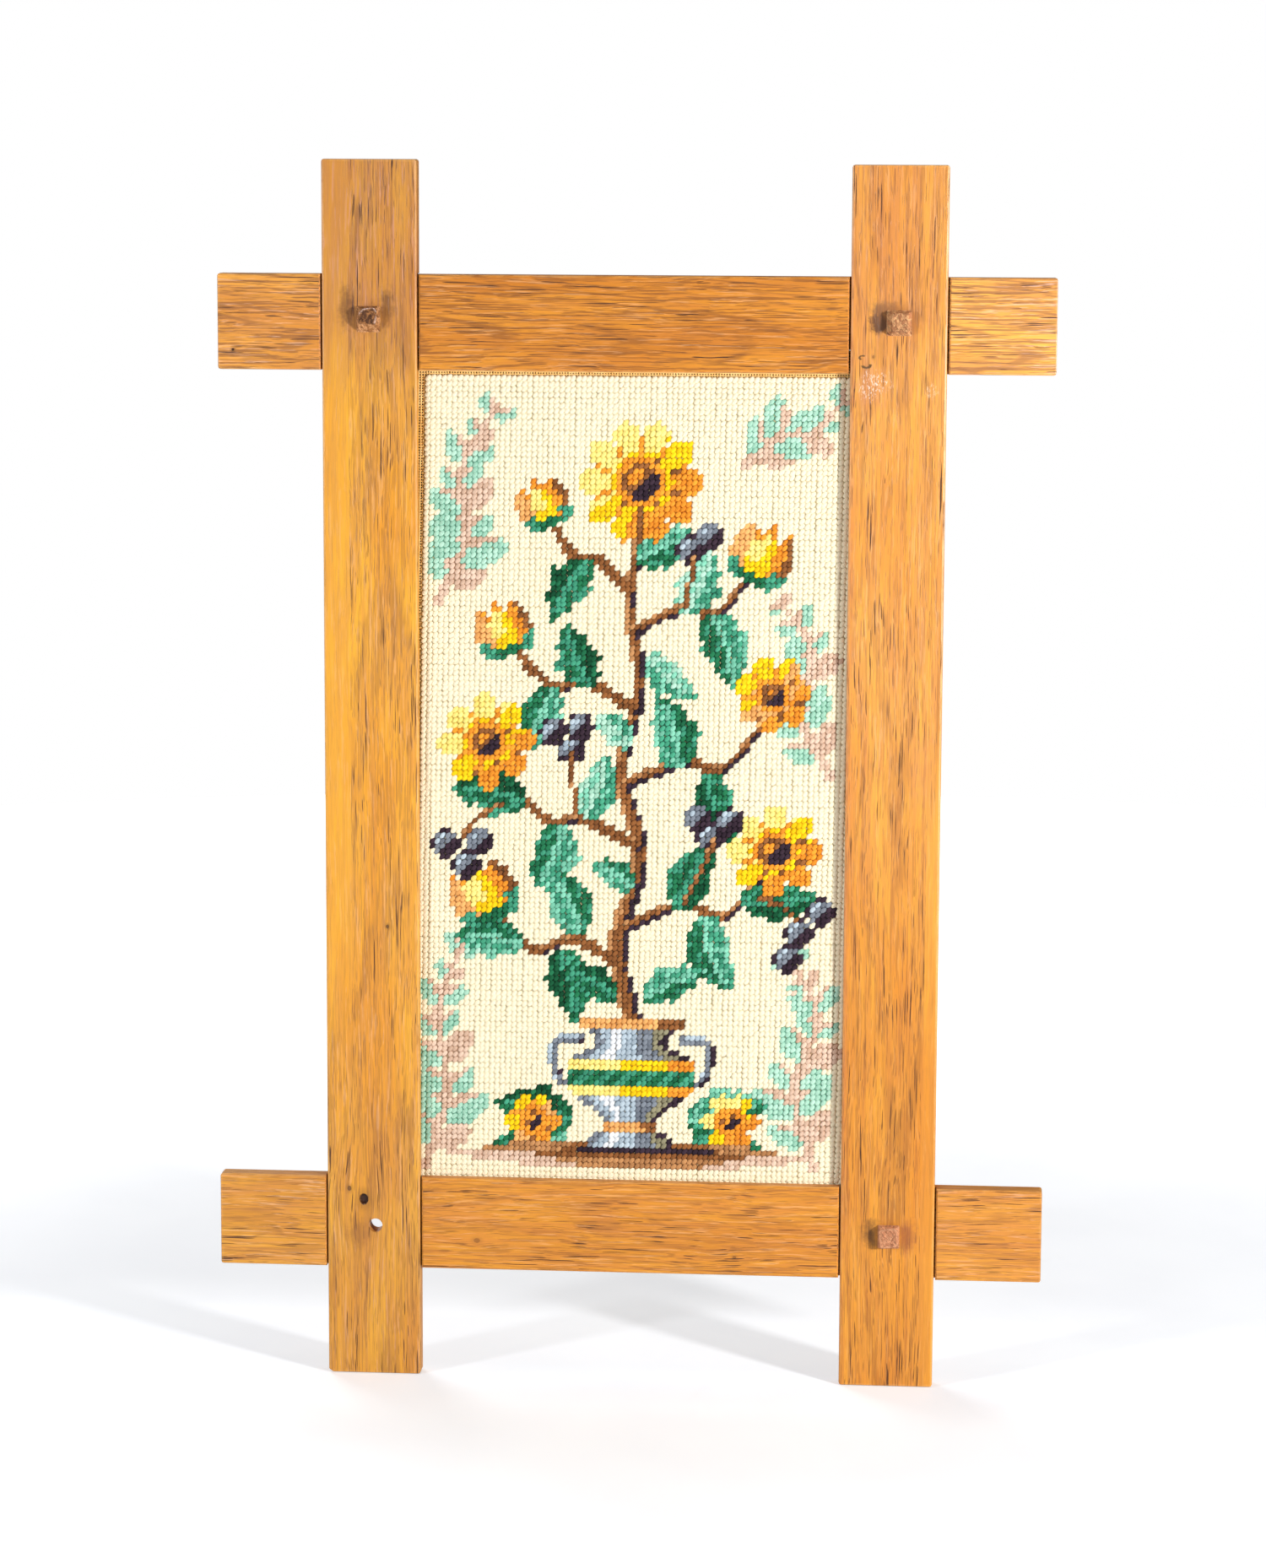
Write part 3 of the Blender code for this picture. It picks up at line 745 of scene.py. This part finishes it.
work_daisy((40.5, 19.5), 11.5, 10, GOLD, 0.30)
work_daisy((12.5, 68.5), 9.2, 8, GOLD, 0.30, 0.3)
work_daisy((67, 88.5), 9.0, 8, GOLD, 0.30)
work_daisy((66, 59), 7.4, 7, WARM, 0.30, 0.5)
work_tulip((15, 102.5), 118, 13)
work_tulip((17, 52), 110, 11)
work_tulip((61, 38), 66, 12)
work_tulip((24, 28), 112, 10)
for place in (
    (5, 88), (9, 92), (11.5, 87.5), (72, 104), (76, 100), (70, 109), (28.5, 70), (25, 66.5), (30, 65.5),
    (55, 86), (58.5, 83), (52.5, 82.5), (50, 32), (53.5, 29.5),
):
    work_berry(place, 2.6)
for line in (
    [(16, 80), (11, 83), (8, 87)], [(64, 97), (69, 99), (72, 102)], [(30, 83), (29, 77), (28, 70)],
    [(50, 99), (53, 93), (56, 86)], [(49, 43), (50, 38), (51, 33)],
):
    work_stem(line, 1.2, 1.0, ("tan", "brown", "brown"))

work_leaf((30, 141), 168, 14, 8, DEEP, 1.0)
work_leaf((52, 141), 14, 14, 8, GREEN, -1.0)
work_leaf((29, 144), -166, 15, 7, GREEN, 0.6)
work_leaf((53, 144), -11, 13.5, 7, DEEP, 0.6)
work_daisy((22.5, 141), 5.4, 6, WARM, 0.32, 0.2)
work_daisy((60, 140.5), 5.6, 6, GOLD, 0.32)
for row in range(145, 150):
    wide = 34 - 4.5 * abs(row - 147) ** 1.3 + 2 * math.sin(row * 2.1)
    here = np.abs(across[row] - 41) < wide
    chart[row][here] = "tan" if row < 147 else "blush"
    chart[row][here & (np.abs(across[row] - 43) < wide * 0.55)] = "brown" if row < 148 else "tan"
    if row == 146:
        chart[row][np.abs(across[row] - 44) < 13] = "ink"
URN = [10, 10, 8, 7, 6.6, 7.4, 9, 10.6, 11.6, 12.2, 12.5, 12.5, 12.2, 11.8, 11, 10, 8.8, 7.4, 6, 5, 4.6, 5.2,
       6.6, 8, 8.4]
work_urn(41, 121, URN)


def field_point(column, row):
    """Where a point of the stitch grid lies. The columns lean a little, as worked canvas does."""
    level = SIGHT_TOP - BARE_TOP - row * PITCH
    return SIGHT_LEFT + column * PITCH + FIELD_SLOPE * (level - RUN_OUT), level


def place_mesh(name, points, faces, material, smooth=True):
    """A mesh object from its points and faces, in the frame's own metres."""
    mesh = bpy.data.meshes.new(name)
    mesh.from_pydata([tuple(p) for p in points], [], faces)
    mesh.materials.append(material)
    if smooth:
        mesh.shade_smooth()
    piece = bpy.data.objects.new(name, mesh)
    bpy.context.scene.collection.objects.link(piece)
    return piece


def lozenge(rings, section, tip_sink):
    """One stitch as a pattern: points along, across and out, its faces, and how far round each point is."""
    points, turns = [], []
    for along, wide, tall in rings:
        for n, (side, out) in enumerate(section):
            points.append((along, side * wide, out * tall))
            turns.append(n / (len(section) - 1) - 0.5)
    size = len(section)
    faces = []
    for ring in range(len(rings) - 1):
        for n in range(size):
            m = (n + 1) % size
            a, b = ring * size, (ring + 1) * size
            faces.append((a + n, b + n, b + m, a + m))
    start, end = len(points), len(points) + 1
    points += [(-1.0, 0.0, tip_sink), (1.0, 0.0, tip_sink)]
    turns += [0.0, 0.0]
    last = (len(rings) - 1) * size
    for n in range(size):
        m = (n + 1) % size
        faces.append((start, n, m))
        faces.append((end, last + m, last + n))
    return np.array(points), faces, np.array(turns)


FACE_STITCH = lozenge(
    [(-0.78, 0.64, 0.70), (-0.32, 1.0, 1.0), (0.34, 1.0, 0.98), (0.80, 0.60, 0.66)],
    [(-0.50, 0.0), (-0.30, 0.78), (0.0, 1.0), (0.30, 0.78), (0.50, 0.0)], -0.10,
)
REVERSE_STITCH = lozenge([(-0.55, 1.0, 1.0), (0.55, 1.0, 1.0)], [(-0.5, 0.0), (0.0, 1.0), (0.5, 0.0)], 0.05)


def repeat_stitch(pattern, middles, stray, slant, length, width, height, base, outward):
    """Copies of a stitch pattern, as points, faces and the stitch coordinates of each point. Slant, length,
    width and height each come as a value and how much it varies."""
    points, faces, turns = pattern
    count, size = len(middles), len(points)
    centres = middles + chance.normal(0, stray * PITCH, (count, 2))
    headings = np.radians(slant[0]) + chance.normal(0, slant[1], count)
    lengths = PITCH * (length[0] + chance.normal(0, length[1], count))
    widths = PITCH * (width[0] + chance.normal(0, width[1], count))
    heights = height[0] * (1 + chance.normal(0, height[1], count))
    ahead = np.stack([np.cos(headings), np.sin(headings)], 1)
    beside = np.stack([ahead[:, 1], -ahead[:, 0]], 1)
    flat = (
        centres[:, None, :]
        + ahead[:, None, :] * (points[None, :, 0] * lengths[:, None] / 2)[..., None]
        + beside[:, None, :] * (points[None, :, 1] * widths[:, None])[..., None]
    )
    depth = base + outward * points[None, :, 2] * heights[:, None]
    placed = np.stack([flat[..., 0], depth, flat[..., 1]], 2).reshape(-1, 3)
    every = []
    for n in range(count):
        every += [tuple(n * size + v for v in (face if outward < 0 else face[::-1])) for face in faces]
    stitch = np.stack([np.tile(turns, count), np.tile(points[:, 0], count)], 1)
    return placed, every, stitch


def lay_stitches(name, cells, material):
    """All the stitches of one yarn: the plump slanting face of each, and its longer slant on the back."""
    cells = np.array(cells)
    column, row = cells[:, 0], cells[:, 1]
    left, level = field_point(column + 0.5, row + 0.5)
    middles = np.stack([left + COLUMN_DRIFT[column] + COLUMN_WAVE[column, row], level + ROW_DRIFT[row]], 1)
    front = repeat_stitch(
        FACE_STITCH, middles, 0.030, (48, 0.085), (1.52, 0.05), (1.10, 0.035), (STITCH_HEIGHT, 0.06),
        STITCH_FOOT, -1,
    )
    back = repeat_stitch(
        REVERSE_STITCH, middles - (0.5 * PITCH, 0), 0.05, (27, 0.07), (2.15, 0.1), (0.62, 0.05),
        (REVERSE_HEIGHT, 0.12), CANVAS_BACK, 1,
    )
    shift = len(front[0])
    faces = front[1] + [tuple(v + shift for v in face) for face in back[1]]
    piece = place_mesh(name, np.concatenate([front[0], back[0]]), faces, material)
    corners = np.zeros(len(piece.data.loops), np.int32)
    piece.data.loops.foreach_get("vertex_index", corners)
    stitch = np.concatenate([front[2], back[2]])[corners]
    piece.data.uv_layers.new(name="stitch").data.foreach_set("uv", stitch.ravel())
    return piece


def thread(points, radius):
    """A round thread along a line that runs mostly one way in the plane of the canvas."""
    sides = 5
    points = np.array(points, float)
    run = points[-1] - points[0]
    flat = np.array([run[0], 0, run[2]]) / np.hypot(run[0], run[2])
    beside, out = np.array([flat[2], 0, -flat[0]]), np.array([0, 1.0, 0])
    turns = np.arange(sides) * 2 * math.pi / sides
    ring = np.cos(turns)[:, None] * beside + np.sin(turns)[:, None] * out
    placed = (points[:, None, :] + radius * ring[None]).reshape(-1, 3)
    faces = []
    for n in range(len(points) - 1):
        for m in range(sides):
            a, b = n * sides + m, n * sides + (m + 1) % sides
            faces.append((a, b, b + sides, a + sides))
    faces.append(tuple(range(sides))[::-1])
    faces.append(tuple(len(placed) - sides + n for n in range(sides)))
    return placed, faces


def weave_bare_canvas(material):
    """The double threads of the margin that was never stitched: along the top, and down the upper left."""
    depth = CANVAS_FACE + 0.00042
    radius, spread, rise, stray = 0.00036, 0.25, 0.00016, 0.02
    # Threads in the margin, and how many stitches the threads across it run on under the wool
    margin, under_top, under_left = 3, 2, 1
    points, faces = [], []

    def lay(line):
        placed, made = thread(line, radius * (1 + chance.normal(0, 0.05)))
        start = sum(len(p) for p in points)
        points.append(placed)
        faces.extend(tuple(v + start for v in face) for face in made)

    def crossing(column, row, over):
        x, z = field_point(column, row)
        return (x, depth - rise * over, z)

    for column in range(-margin, COLUMNS):
        last = ROWS if column < 0 else under_top
        for hand in (-spread, spread):
            wobble = chance.normal(0, stray, last + margin)
            line = []
            for n, row in enumerate(range(-margin, last)):
                over = 1 if (column + row) % 2 else -1
                line.append(crossing(column + 0.5 + hand + wobble[n], row + 0.5, over))
            lay(line)
    for row in range(-margin, ROWS):
        last = COLUMNS if row < 0 else under_left
        for hand in (-spread, spread):
            wobble = chance.normal(0, stray, last + margin + 1)
            line = []
            for n, column in enumerate(range(-margin, last)):
                over = -1 if (column + row) % 2 else 1
                line.append(crossing(column + 0.5, row + 0.5 + hand + wobble[n], over))
            lay(line)
    return place_mesh("bare_canvas_threads", np.concatenate(points), faces, material)


def stretch_ground(material):
    """The canvas itself: one thin sheet that runs under the lip of the frame on all four sides."""
    low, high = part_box("embroidered_canvas")
    wide, tall = 88, 160
    bare_sink, worked_sink, overlap = 0.00085, 0.00012, 0.0004
    x = np.linspace(low.x, high.x, wide + 1)
    z = np.linspace(low.z, high.z, tall + 1)
    gx, gz = np.meshgrid(x, z)
    ripple = 0.00006 * np.sin(gx * 61 + 1.3 * np.sin(gz * 23)) + 0.00005 * np.sin(gz * 47 + gx * 19)
    bare = (gz > SIGHT_TOP - BARE_TOP) | (gx < SIGHT_LEFT + FIELD_SLOPE * (gz - RUN_OUT) - overlap)
    level = np.where(bare, CANVAS_FACE + bare_sink, STITCH_FOOT + worked_sink)
    front = np.stack([gx, level + ripple, gz], 2).reshape(-1, 3)
    back = np.stack([gx, CANVAS_BACK - 0.00005 + ripple * 0.5, gz], 2).reshape(-1, 3)
    across_count = wide + 1
    shift = len(front)
    faces = []
    for r in range(tall):
        for c in range(wide):
            a = r * across_count + c
            quad = (a, a + 1, a + across_count + 1, a + across_count)
            faces.append(quad)
            faces.append(tuple(v + shift for v in quad[::-1]))
    rim = list(range(wide)) + [r * across_count + wide for r in range(tall)]
    rim += [tall * across_count + c for c in range(wide, 0, -1)]
    rim += [r * across_count for r in range(tall, 0, -1)]
    for a, b in zip(rim, rim[1:] + rim[:1]):
        faces.append((b, a, a + shift, b + shift))
    return place_mesh("canvas_ground", np.concatenate([front, back]), faces, material)


def canvas_finish(name, holes):
    """Cotton canvas. The stitched sheet also has the holes of its bare margin in painted shade, and worked
    ground.
    """
    material, shader, make = new_material(name, 0.85, 0.2, sheen=0.1)
    place = make.put("ShaderNodeTexCoord", out=3)
    cotton = make.group(COTTON, Place=place)
    colour, height = cotton["Color"], cotton["Fibre"]
    if holes:
        x, y, z = make.split(place)
        level = (SIGHT_TOP - BARE_TOP - z) / PITCH
        lean = (z - RUN_OUT) * FIELD_SLOPE
        column = (x - SIGHT_LEFT - lean) / PITCH
        halves = [value * 2.0 for value in (column, level)]
        corner = make.join(*[value - make.maths("ROUND", value) for value in halves], 0.0)
        worked = make.maths("GREATER_THAN", column, 0.4) * make.maths("GREATER_THAN", level, 0.4)
        # The holes are painted dark: the shade seen through them, on a solid sheet. They also dip the relief
        hole_shade = make.ramp(make.length(corner), 0.42, 0.28)
        behind = make.maths("GREATER_THAN", y, CANVAS_FACE + 0.0010)
        hole_shade = hole_shade * (1.0 - make.maths("MAXIMUM", worked, behind))
        colour = make.mix(worked * 0.8, colour, dye(206, 192, 150))
        margin = make.ramp(column, 0.1, -0.1, 0.6, 1.0)
        colour = make.mix(hole_shade * margin, colour, dye(44, 24, 14))
        height = height - hole_shade * 3.0
    make.send(colour, shader.inputs["Base Color"])
    raise_surface(make, shader, height, 0.00015)
    return material


def hang_light(name, place, aim, size, power, colour=(1.0, 1.0, 1.0)):
    """A soft rectangular lamp that faces a point."""
    lamp = bpy.data.lights.new(name, "AREA")
    lamp.shape = "RECTANGLE"
    lamp.size, lamp.size_y = size
    lamp.energy = power
    lamp.color = colour
    holder = bpy.data.objects.new(name, lamp)
    holder.location = place
    holder.rotation_euler = (Vector(aim) - Vector(place)).to_track_quat("-Z", "Y").to_euler()
    bpy.context.scene.collection.objects.link(holder)


def set_up_studio():
    """The camera, a pale floor and soft lamps: a strong one from the right, a weaker one from the left."""
    scene = bpy.context.scene
    scene.view_settings.view_transform = "Standard"
    lens = bpy.data.cameras.new("camera")
    lens.lens = FOCAL_LENGTH
    lens.sensor_width = SENSOR
    camera = bpy.data.objects.new("camera", lens)
    behind = EYE_RIGHT.cross(EYE_UP)
    camera.matrix_world = Matrix.Translation(EYE) @ Matrix((EYE_RIGHT, EYE_UP, behind)).transposed().to_4x4()
    scene.collection.objects.link(camera)
    scene.camera = camera

    world = bpy.data.worlds.new("studio")
    scene.world = world
    world.use_nodes = True
    make = Recipe(world.node_tree)
    nodes = world.node_tree.nodes
    seen = nodes["Background"]
    seen.inputs["Color"].default_value = (1.0, 1.0, 1.0, 1.0)
    fill_in = make.put("ShaderNodeBackground", {"Color": (0.95, 0.97, 1.0, 1.0), "Strength": 0.09})
    inputs = {0: make.put("ShaderNodeLightPath"), 1: fill_in, 2: make.wires(seen)["Background"]}
    make.send(make.put("ShaderNodeMixShader", inputs), nodes["World Output"].inputs["Surface"])

    corners, radius = 96, 1.7
    turns = np.arange(corners) * 2 * math.pi / corners
    rim = [(radius * math.cos(a), radius * math.sin(a) + 0.2, -0.0002) for a in turns]
    floor_finish, shader, make = new_material("studio_floor", 0.7, 0.2)
    place = make.put("ShaderNodeTexCoord", out=3)
    cloudy = make.ramp(make.noise(place, 9.0, 5.0, 0.6), 0.35, 0.7)
    scuff = make.ramp(make.streaks(place, (40, 13, 1), 4.0, 0.7), 0.66, 0.74, 0.0, 0.25)
    tone = make.mix(cloudy, dye(226, 229, 234), dye(220, 223, 229))
    make.send(make.mix(scuff, tone, dye(200, 202, 206)), shader.inputs["Base Color"])
    from_middle = make.length(make.vector("SUBTRACT", place, (0, 0.1, 0)))
    glow = make.ramp(from_middle, 0.28, 0.95, 0.36, 0.9)
    shader.inputs["Emission Strength"].default_value = 1.0
    glow = glow * make.put("ShaderNodeLightPath")
    make.send(make.join(glow, glow, glow), shader.inputs["Emission Color"])
    floor = place_mesh("floor", rim, [tuple(range(corners))], floor_finish, False)

    hang_light("key_right", (1.18, -0.98, 0.44), (0, 0, 0.36), (0.12, 0.16), 26.6, (1.0, 0.985, 0.97))
    hang_light("fill_left", (-1.20, -1.05, 0.46), (0, 0, 0.36), (0.14, 0.20), 11.2, (0.98, 0.985, 1.0))
    hang_light("overhead", (0.0, 0.35, 2.6), (0, 0.15, 0), (3.4, 3.0), 26)
    hang_light("back_left", (-1.1, 1.7, 1.2), (0, 0, 0.3), (0.9, 0.9), 18)


def dress_bars():
    """Give each of the four bars its own wood and marks. Each mark starts with where it is on the face."""
    dress_bar(
        "stile_left", (-0.118, 0.030), (0.012, 0.040), (241, 174, 52), (226, 150, 42), (206, 138, 66), 0.42,
        # Tones: darker and bluer at the top of the horn; darker towards the foot, painted shade where less
        # lamp light falls
        tones=[(0.46, 0.52, (0.76, 0.73, 1.38)), (0.20, 0.04, (0.87, 0.87, 1.10))],
        knots=[((-0.1354, 0.0919), 0.0012, 0.35, 0.75), ((-0.1284, 0.0866), 0.0026, 0.55, 1.0),
               ((-0.1163, 0.2210), 0.0009, 0.3, 0.8)],
        # The first two patches, either side of the top peg, are part staining, part the peg's shadows painted
        # on
        stains_and_shadows=[((-0.1345, 0.5160), (0.0052, 0.015), (92, 60, 40), 0.75),
                ((-0.1149, 0.5170), (0.0052, 0.015), (92, 60, 40), 0.75),
                ((-0.1235, 0.5110), (0.022, 0.014), (150, 96, 54), 0.4),
                ((-0.1310, 0.0705), (0.009, 0.012), (130, 82, 46), 0.45)],
        plain=(-0.1334, -1, 0.14, 0.22),
    )
    dress_bar(
        "stile_right", (0.131, 0.034), (-0.014, -0.030), (240, 172, 74), (228, 152, 60), (210, 138, 80), 0.42,
        # Tones: a little darker at the top of the horn; darker and yellower towards the foot, painted shade
        # where less lamp light falls
        tones=[(0.44, 0.52, (0.92, 0.88, 0.96)), (0.36, 0.16, (0.86, 0.76, 0.46))],
        knots=[((0.1128, 0.4947), 0.0007, 0.2, 0.5)],
        dents=[((0.1079, 0.4943), 0.0018, 2.6, 0.9), ((0.1097, 0.4908), 0.0023, -1.3, 0.9)],
        scuffs=[((0.1145, 0.4825), (0.0085, 0.0075), (250, 226, 208), 0.75),
                ((0.1105, 0.4800), (0.0060, 0.0090), (250, 226, 208), 0.5),
                ((0.1402, 0.4796), (0.0050, 0.0045), (250, 214, 180), 0.6)],
        stains_and_shadows=[((0.1128, 0.4800), (0.0120, 0.015), (206, 138, 92), 0.5),
                # Next two: the top peg's shadow to its left painted on, a dark core and a softer upper edge,
                # partly staining
                ((0.1156, 0.5104), (0.0072, 0.0082), (104, 70, 48), 2.2),
                ((0.1170, 0.5165), (0.0110, 0.0070), (132, 92, 62), 0.9),
                # A darker reddish band down the stile's inner edge
                ((0.1022, 0.2900), (0.0040, 0.5000), (200, 122, 66), 0.6),
                ((0.1247, 0.5140), (0.020, 0.010), (150, 96, 54), 0.45),
                # Next two: the bottom peg's shadows, to its left and to its right, painted on, partly
                # staining
                ((0.1166, 0.0752), (0.0075, 0.011), (92, 62, 34), 0.8),
                ((0.1344, 0.0745), (0.0085, 0.013), (150, 84, 52), 0.7),
                ((0.1380, 0.3000), (0.0080, 0.0300), (196, 128, 88), 0.3)],
        plain=(0.1408, 1, 0.34, 0.26),
    )
    dress_bar(
        "rail_top", (0.500, 0.028), (-0.020, 0.050), (222, 146, 46), (200, 122, 36), (200, 124, 52), 0.85,
        # Tones: lighter and pinker at both stubs; at the right stub much lighter, a painted highlight where
        # the right lamp falls
        tones=[(-0.120, -0.150, (1.16, 1.32, 1.95)), (0.120, 0.150, (1.36, 1.70, 3.10))],
        knots=[((-0.1883, 0.4959), 0.0007, 0.2, 1.0)],
    )
    dress_bar(
        "rail_bottom", (0.082, 0.026), (0.018, -0.045), (226, 152, 46), (206, 132, 38), (206, 128, 58), 0.45,
        tones=[(-0.120, -0.150, (1.05, 1.18, 1.50)), (0.120, 0.150, (1.0, 1.05, 1.40))],
        knots=[((-0.0734, 0.0674), 0.0014, 0.5, 0.5), ((0.0514, 0.0620), 0.0009, 0.3, 0.6)],
        stains_and_shadows=[((-0.010, 0.0760), (0.012, 0.010), (176, 112, 54), 0.4)],
    )


def whittle(node, seed, finish):
    """A finer copy of a peg, inside its own outline: knife cuts round the head and a rough, torn tip."""
    fine_edge, rim_width, torn_length = 0.0006, 0.0007, 0.0008
    cutting = np.random.default_rng(seed)
    low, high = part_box(node)
    middle = (low + high) / 2
    shape = bmesh.new()
    shape.from_mesh(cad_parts[node].data)
    for _ in range(5):
        bmesh.ops.triangulate(shape, faces=shape.faces)
        long = [e for e in shape.edges if e.calc_length() > fine_edge and all(v.co.y < FACE for v in e.verts)]
        bmesh.ops.subdivide_edges(shape, edges=long, cuts=1)
    bmesh.ops.triangulate(shape, faces=shape.faces)
    head = [vert for vert in shape.verts if vert.co.y < FACE - 0.0004]
    cuts = []
    for turn in np.arange(8) * math.pi / 4 + cutting.uniform(-0.3, 0.3, 8):
        flat = Vector((math.cos(turn), -cutting.uniform(0.05, 0.6), math.sin(turn))).normalized()
        reach = max(flat.dot(vert.co - middle) for vert in head) - cutting.uniform(0.0002, 0.0010)
        cuts.append((flat, reach))
        for vert in head:
            over = flat.dot(vert.co - middle) - reach
            if over > 0:
                vert.co -= flat * over
    shape.verts.index_update()
    tip_reach = max(middle.y - vert.co.y for vert in head)
    rims = {}
    for vert in head:
        tip_gap = middle.y - vert.co.y - tip_reach
        side_gap = max(flat.dot(vert.co - middle) - reach for flat, reach in cuts)
        rim = max(0.0, 1 + min(tip_gap, side_gap) / rim_width)
        rims[vert.index] = rim, max(0.0, min(1.0, 1.5 + tip_gap / torn_length))
    for vert in head:
        inward = Vector((middle.x - vert.co.x, 0, middle.z - vert.co.z)).normalized()
        rough = 0.5 + 0.5 * noise.noise(vert.co * 700 + Vector((seed, 0, 0)))
        torn = 0.5 + 0.5 * noise.noise(Vector((vert.co.x * 900, seed, vert.co.z * 420)))
        near_tip = max(0.0, min(1.0, (low.y + 0.0012 - vert.co.y) / torn_length))
        vert.co += inward * 0.00022 * rough + Vector((0, 0.0007 * torn * near_tip, 0))
    layer = shape.loops.layers.uv.new("cut")
    for vert in shape.verts:
        for loop in vert.link_loops:
            loop[layer].uv = rims.get(vert.index, (0.0, 0.0))
    mesh = bpy.data.meshes.new("whittled_" + node)
    shape.to_mesh(mesh)
    shape.free()
    mesh.materials.clear()
    mesh.materials.append(finish)
    piece = bpy.data.objects.new("whittled_" + node, mesh)
    bpy.context.scene.collection.objects.link(piece)
    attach(piece, "root")
    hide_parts(node)


def make_pegs():
    """The three pegs, each cut by hand and each of its own tone."""
    for where, seed, *looks in (
        ("top_left", 3, 0.3, (170, 114, 66), (88, 56, 36), (226, 166, 112), (250, 214, 196), 0.9),
        ("top_right", 8, 0.7, (232, 176, 122), (184, 124, 82), (204, 140, 94), (124, 78, 54), 0.55),
        ("bottom_right", 14, 1.1, (224, 160, 118), (196, 130, 92), (216, 150, 108), (236, 182, 146), 0.5),
    ):
        whittle("peg_" + where, seed, peg_finish("peg_wood_" + where, *looks))


# Each yarn in its lit and its shaded colour
YARNS = {
    "ivory": ((247, 236, 206), (234, 221, 184)),
    "forest": ((26, 92, 58), (4, 34, 22)),
    "dark_green": ((40, 124, 82), (8, 52, 34)),
    "teal": ((78, 172, 136), (20, 84, 62)),
    "aqua": ((142, 218, 188), (50, 128, 100)),
    "mist": ((192, 232, 210), (100, 166, 138)),
    "blush": ((236, 208, 186), (176, 134, 104)),
    "tan": ((204, 148, 96), (120, 76, 44)),
    "brown": ((160, 102, 56), (74, 42, 24)),
    "ink": ((66, 50, 62), (18, 12, 20)),
    "yellow": ((255, 222, 30), (214, 156, 0)),
    "pale_yellow": ((255, 244, 150), (224, 190, 80)),
    "apricot": ((246, 188, 116), (192, 118, 50)),
    "amber": ((250, 168, 56), (190, 96, 16)),
    "slate": ((138, 146, 156), (66, 72, 84)),
    "blue_grey": ((196, 212, 222), (120, 136, 150)),
    "olive_grey": ((158, 152, 122), (88, 82, 60)),
    "white": ((248, 250, 252), (186, 190, 194)),
}
STITCHES_A_PIECE = 3300

# How far each column and row strays from the count
COLUMN_DRIFT = chance.normal(0, 0.018 * PITCH, COLUMNS)
ROW_DRIFT = chance.normal(0, 0.02 * PITCH, ROWS)
phase = np.arange(ROWS)[None, :] * 0.11 + chance.uniform(0, 6.3, (COLUMNS, 1))
COLUMN_WAVE = 0.03 * PITCH * np.sin(phase) + 0.02 * PITCH * np.sin(2.7 * phase)

set_up_studio()
dress_bars()
make_pegs()
worked = []
for yarn, (light, shadow) in YARNS.items():
    rows, columns = np.nonzero(chart == yarn)
    cells = list(zip(columns, rows))
    finish = yarn_finish(yarn, dye(*light), dye(*shadow), 0.14 if yarn == "ivory" else 0.5)
    for start in range(0, len(cells), STITCHES_A_PIECE):
        label = f"{yarn}_wool"
        if len(cells) > STITCHES_A_PIECE:
            label += f"_{start // STITCHES_A_PIECE + 1}"
        worked.append(lay_stitches(label, cells[start:start + STITCHES_A_PIECE], finish))
ground = stretch_ground(canvas_finish("canvas_cotton", True))
margin = weave_bare_canvas(canvas_finish("canvas_thread", False))
for piece in worked + [ground, margin]:
    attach(piece, "root")
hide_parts("embroidered_canvas")
worked + [margin]
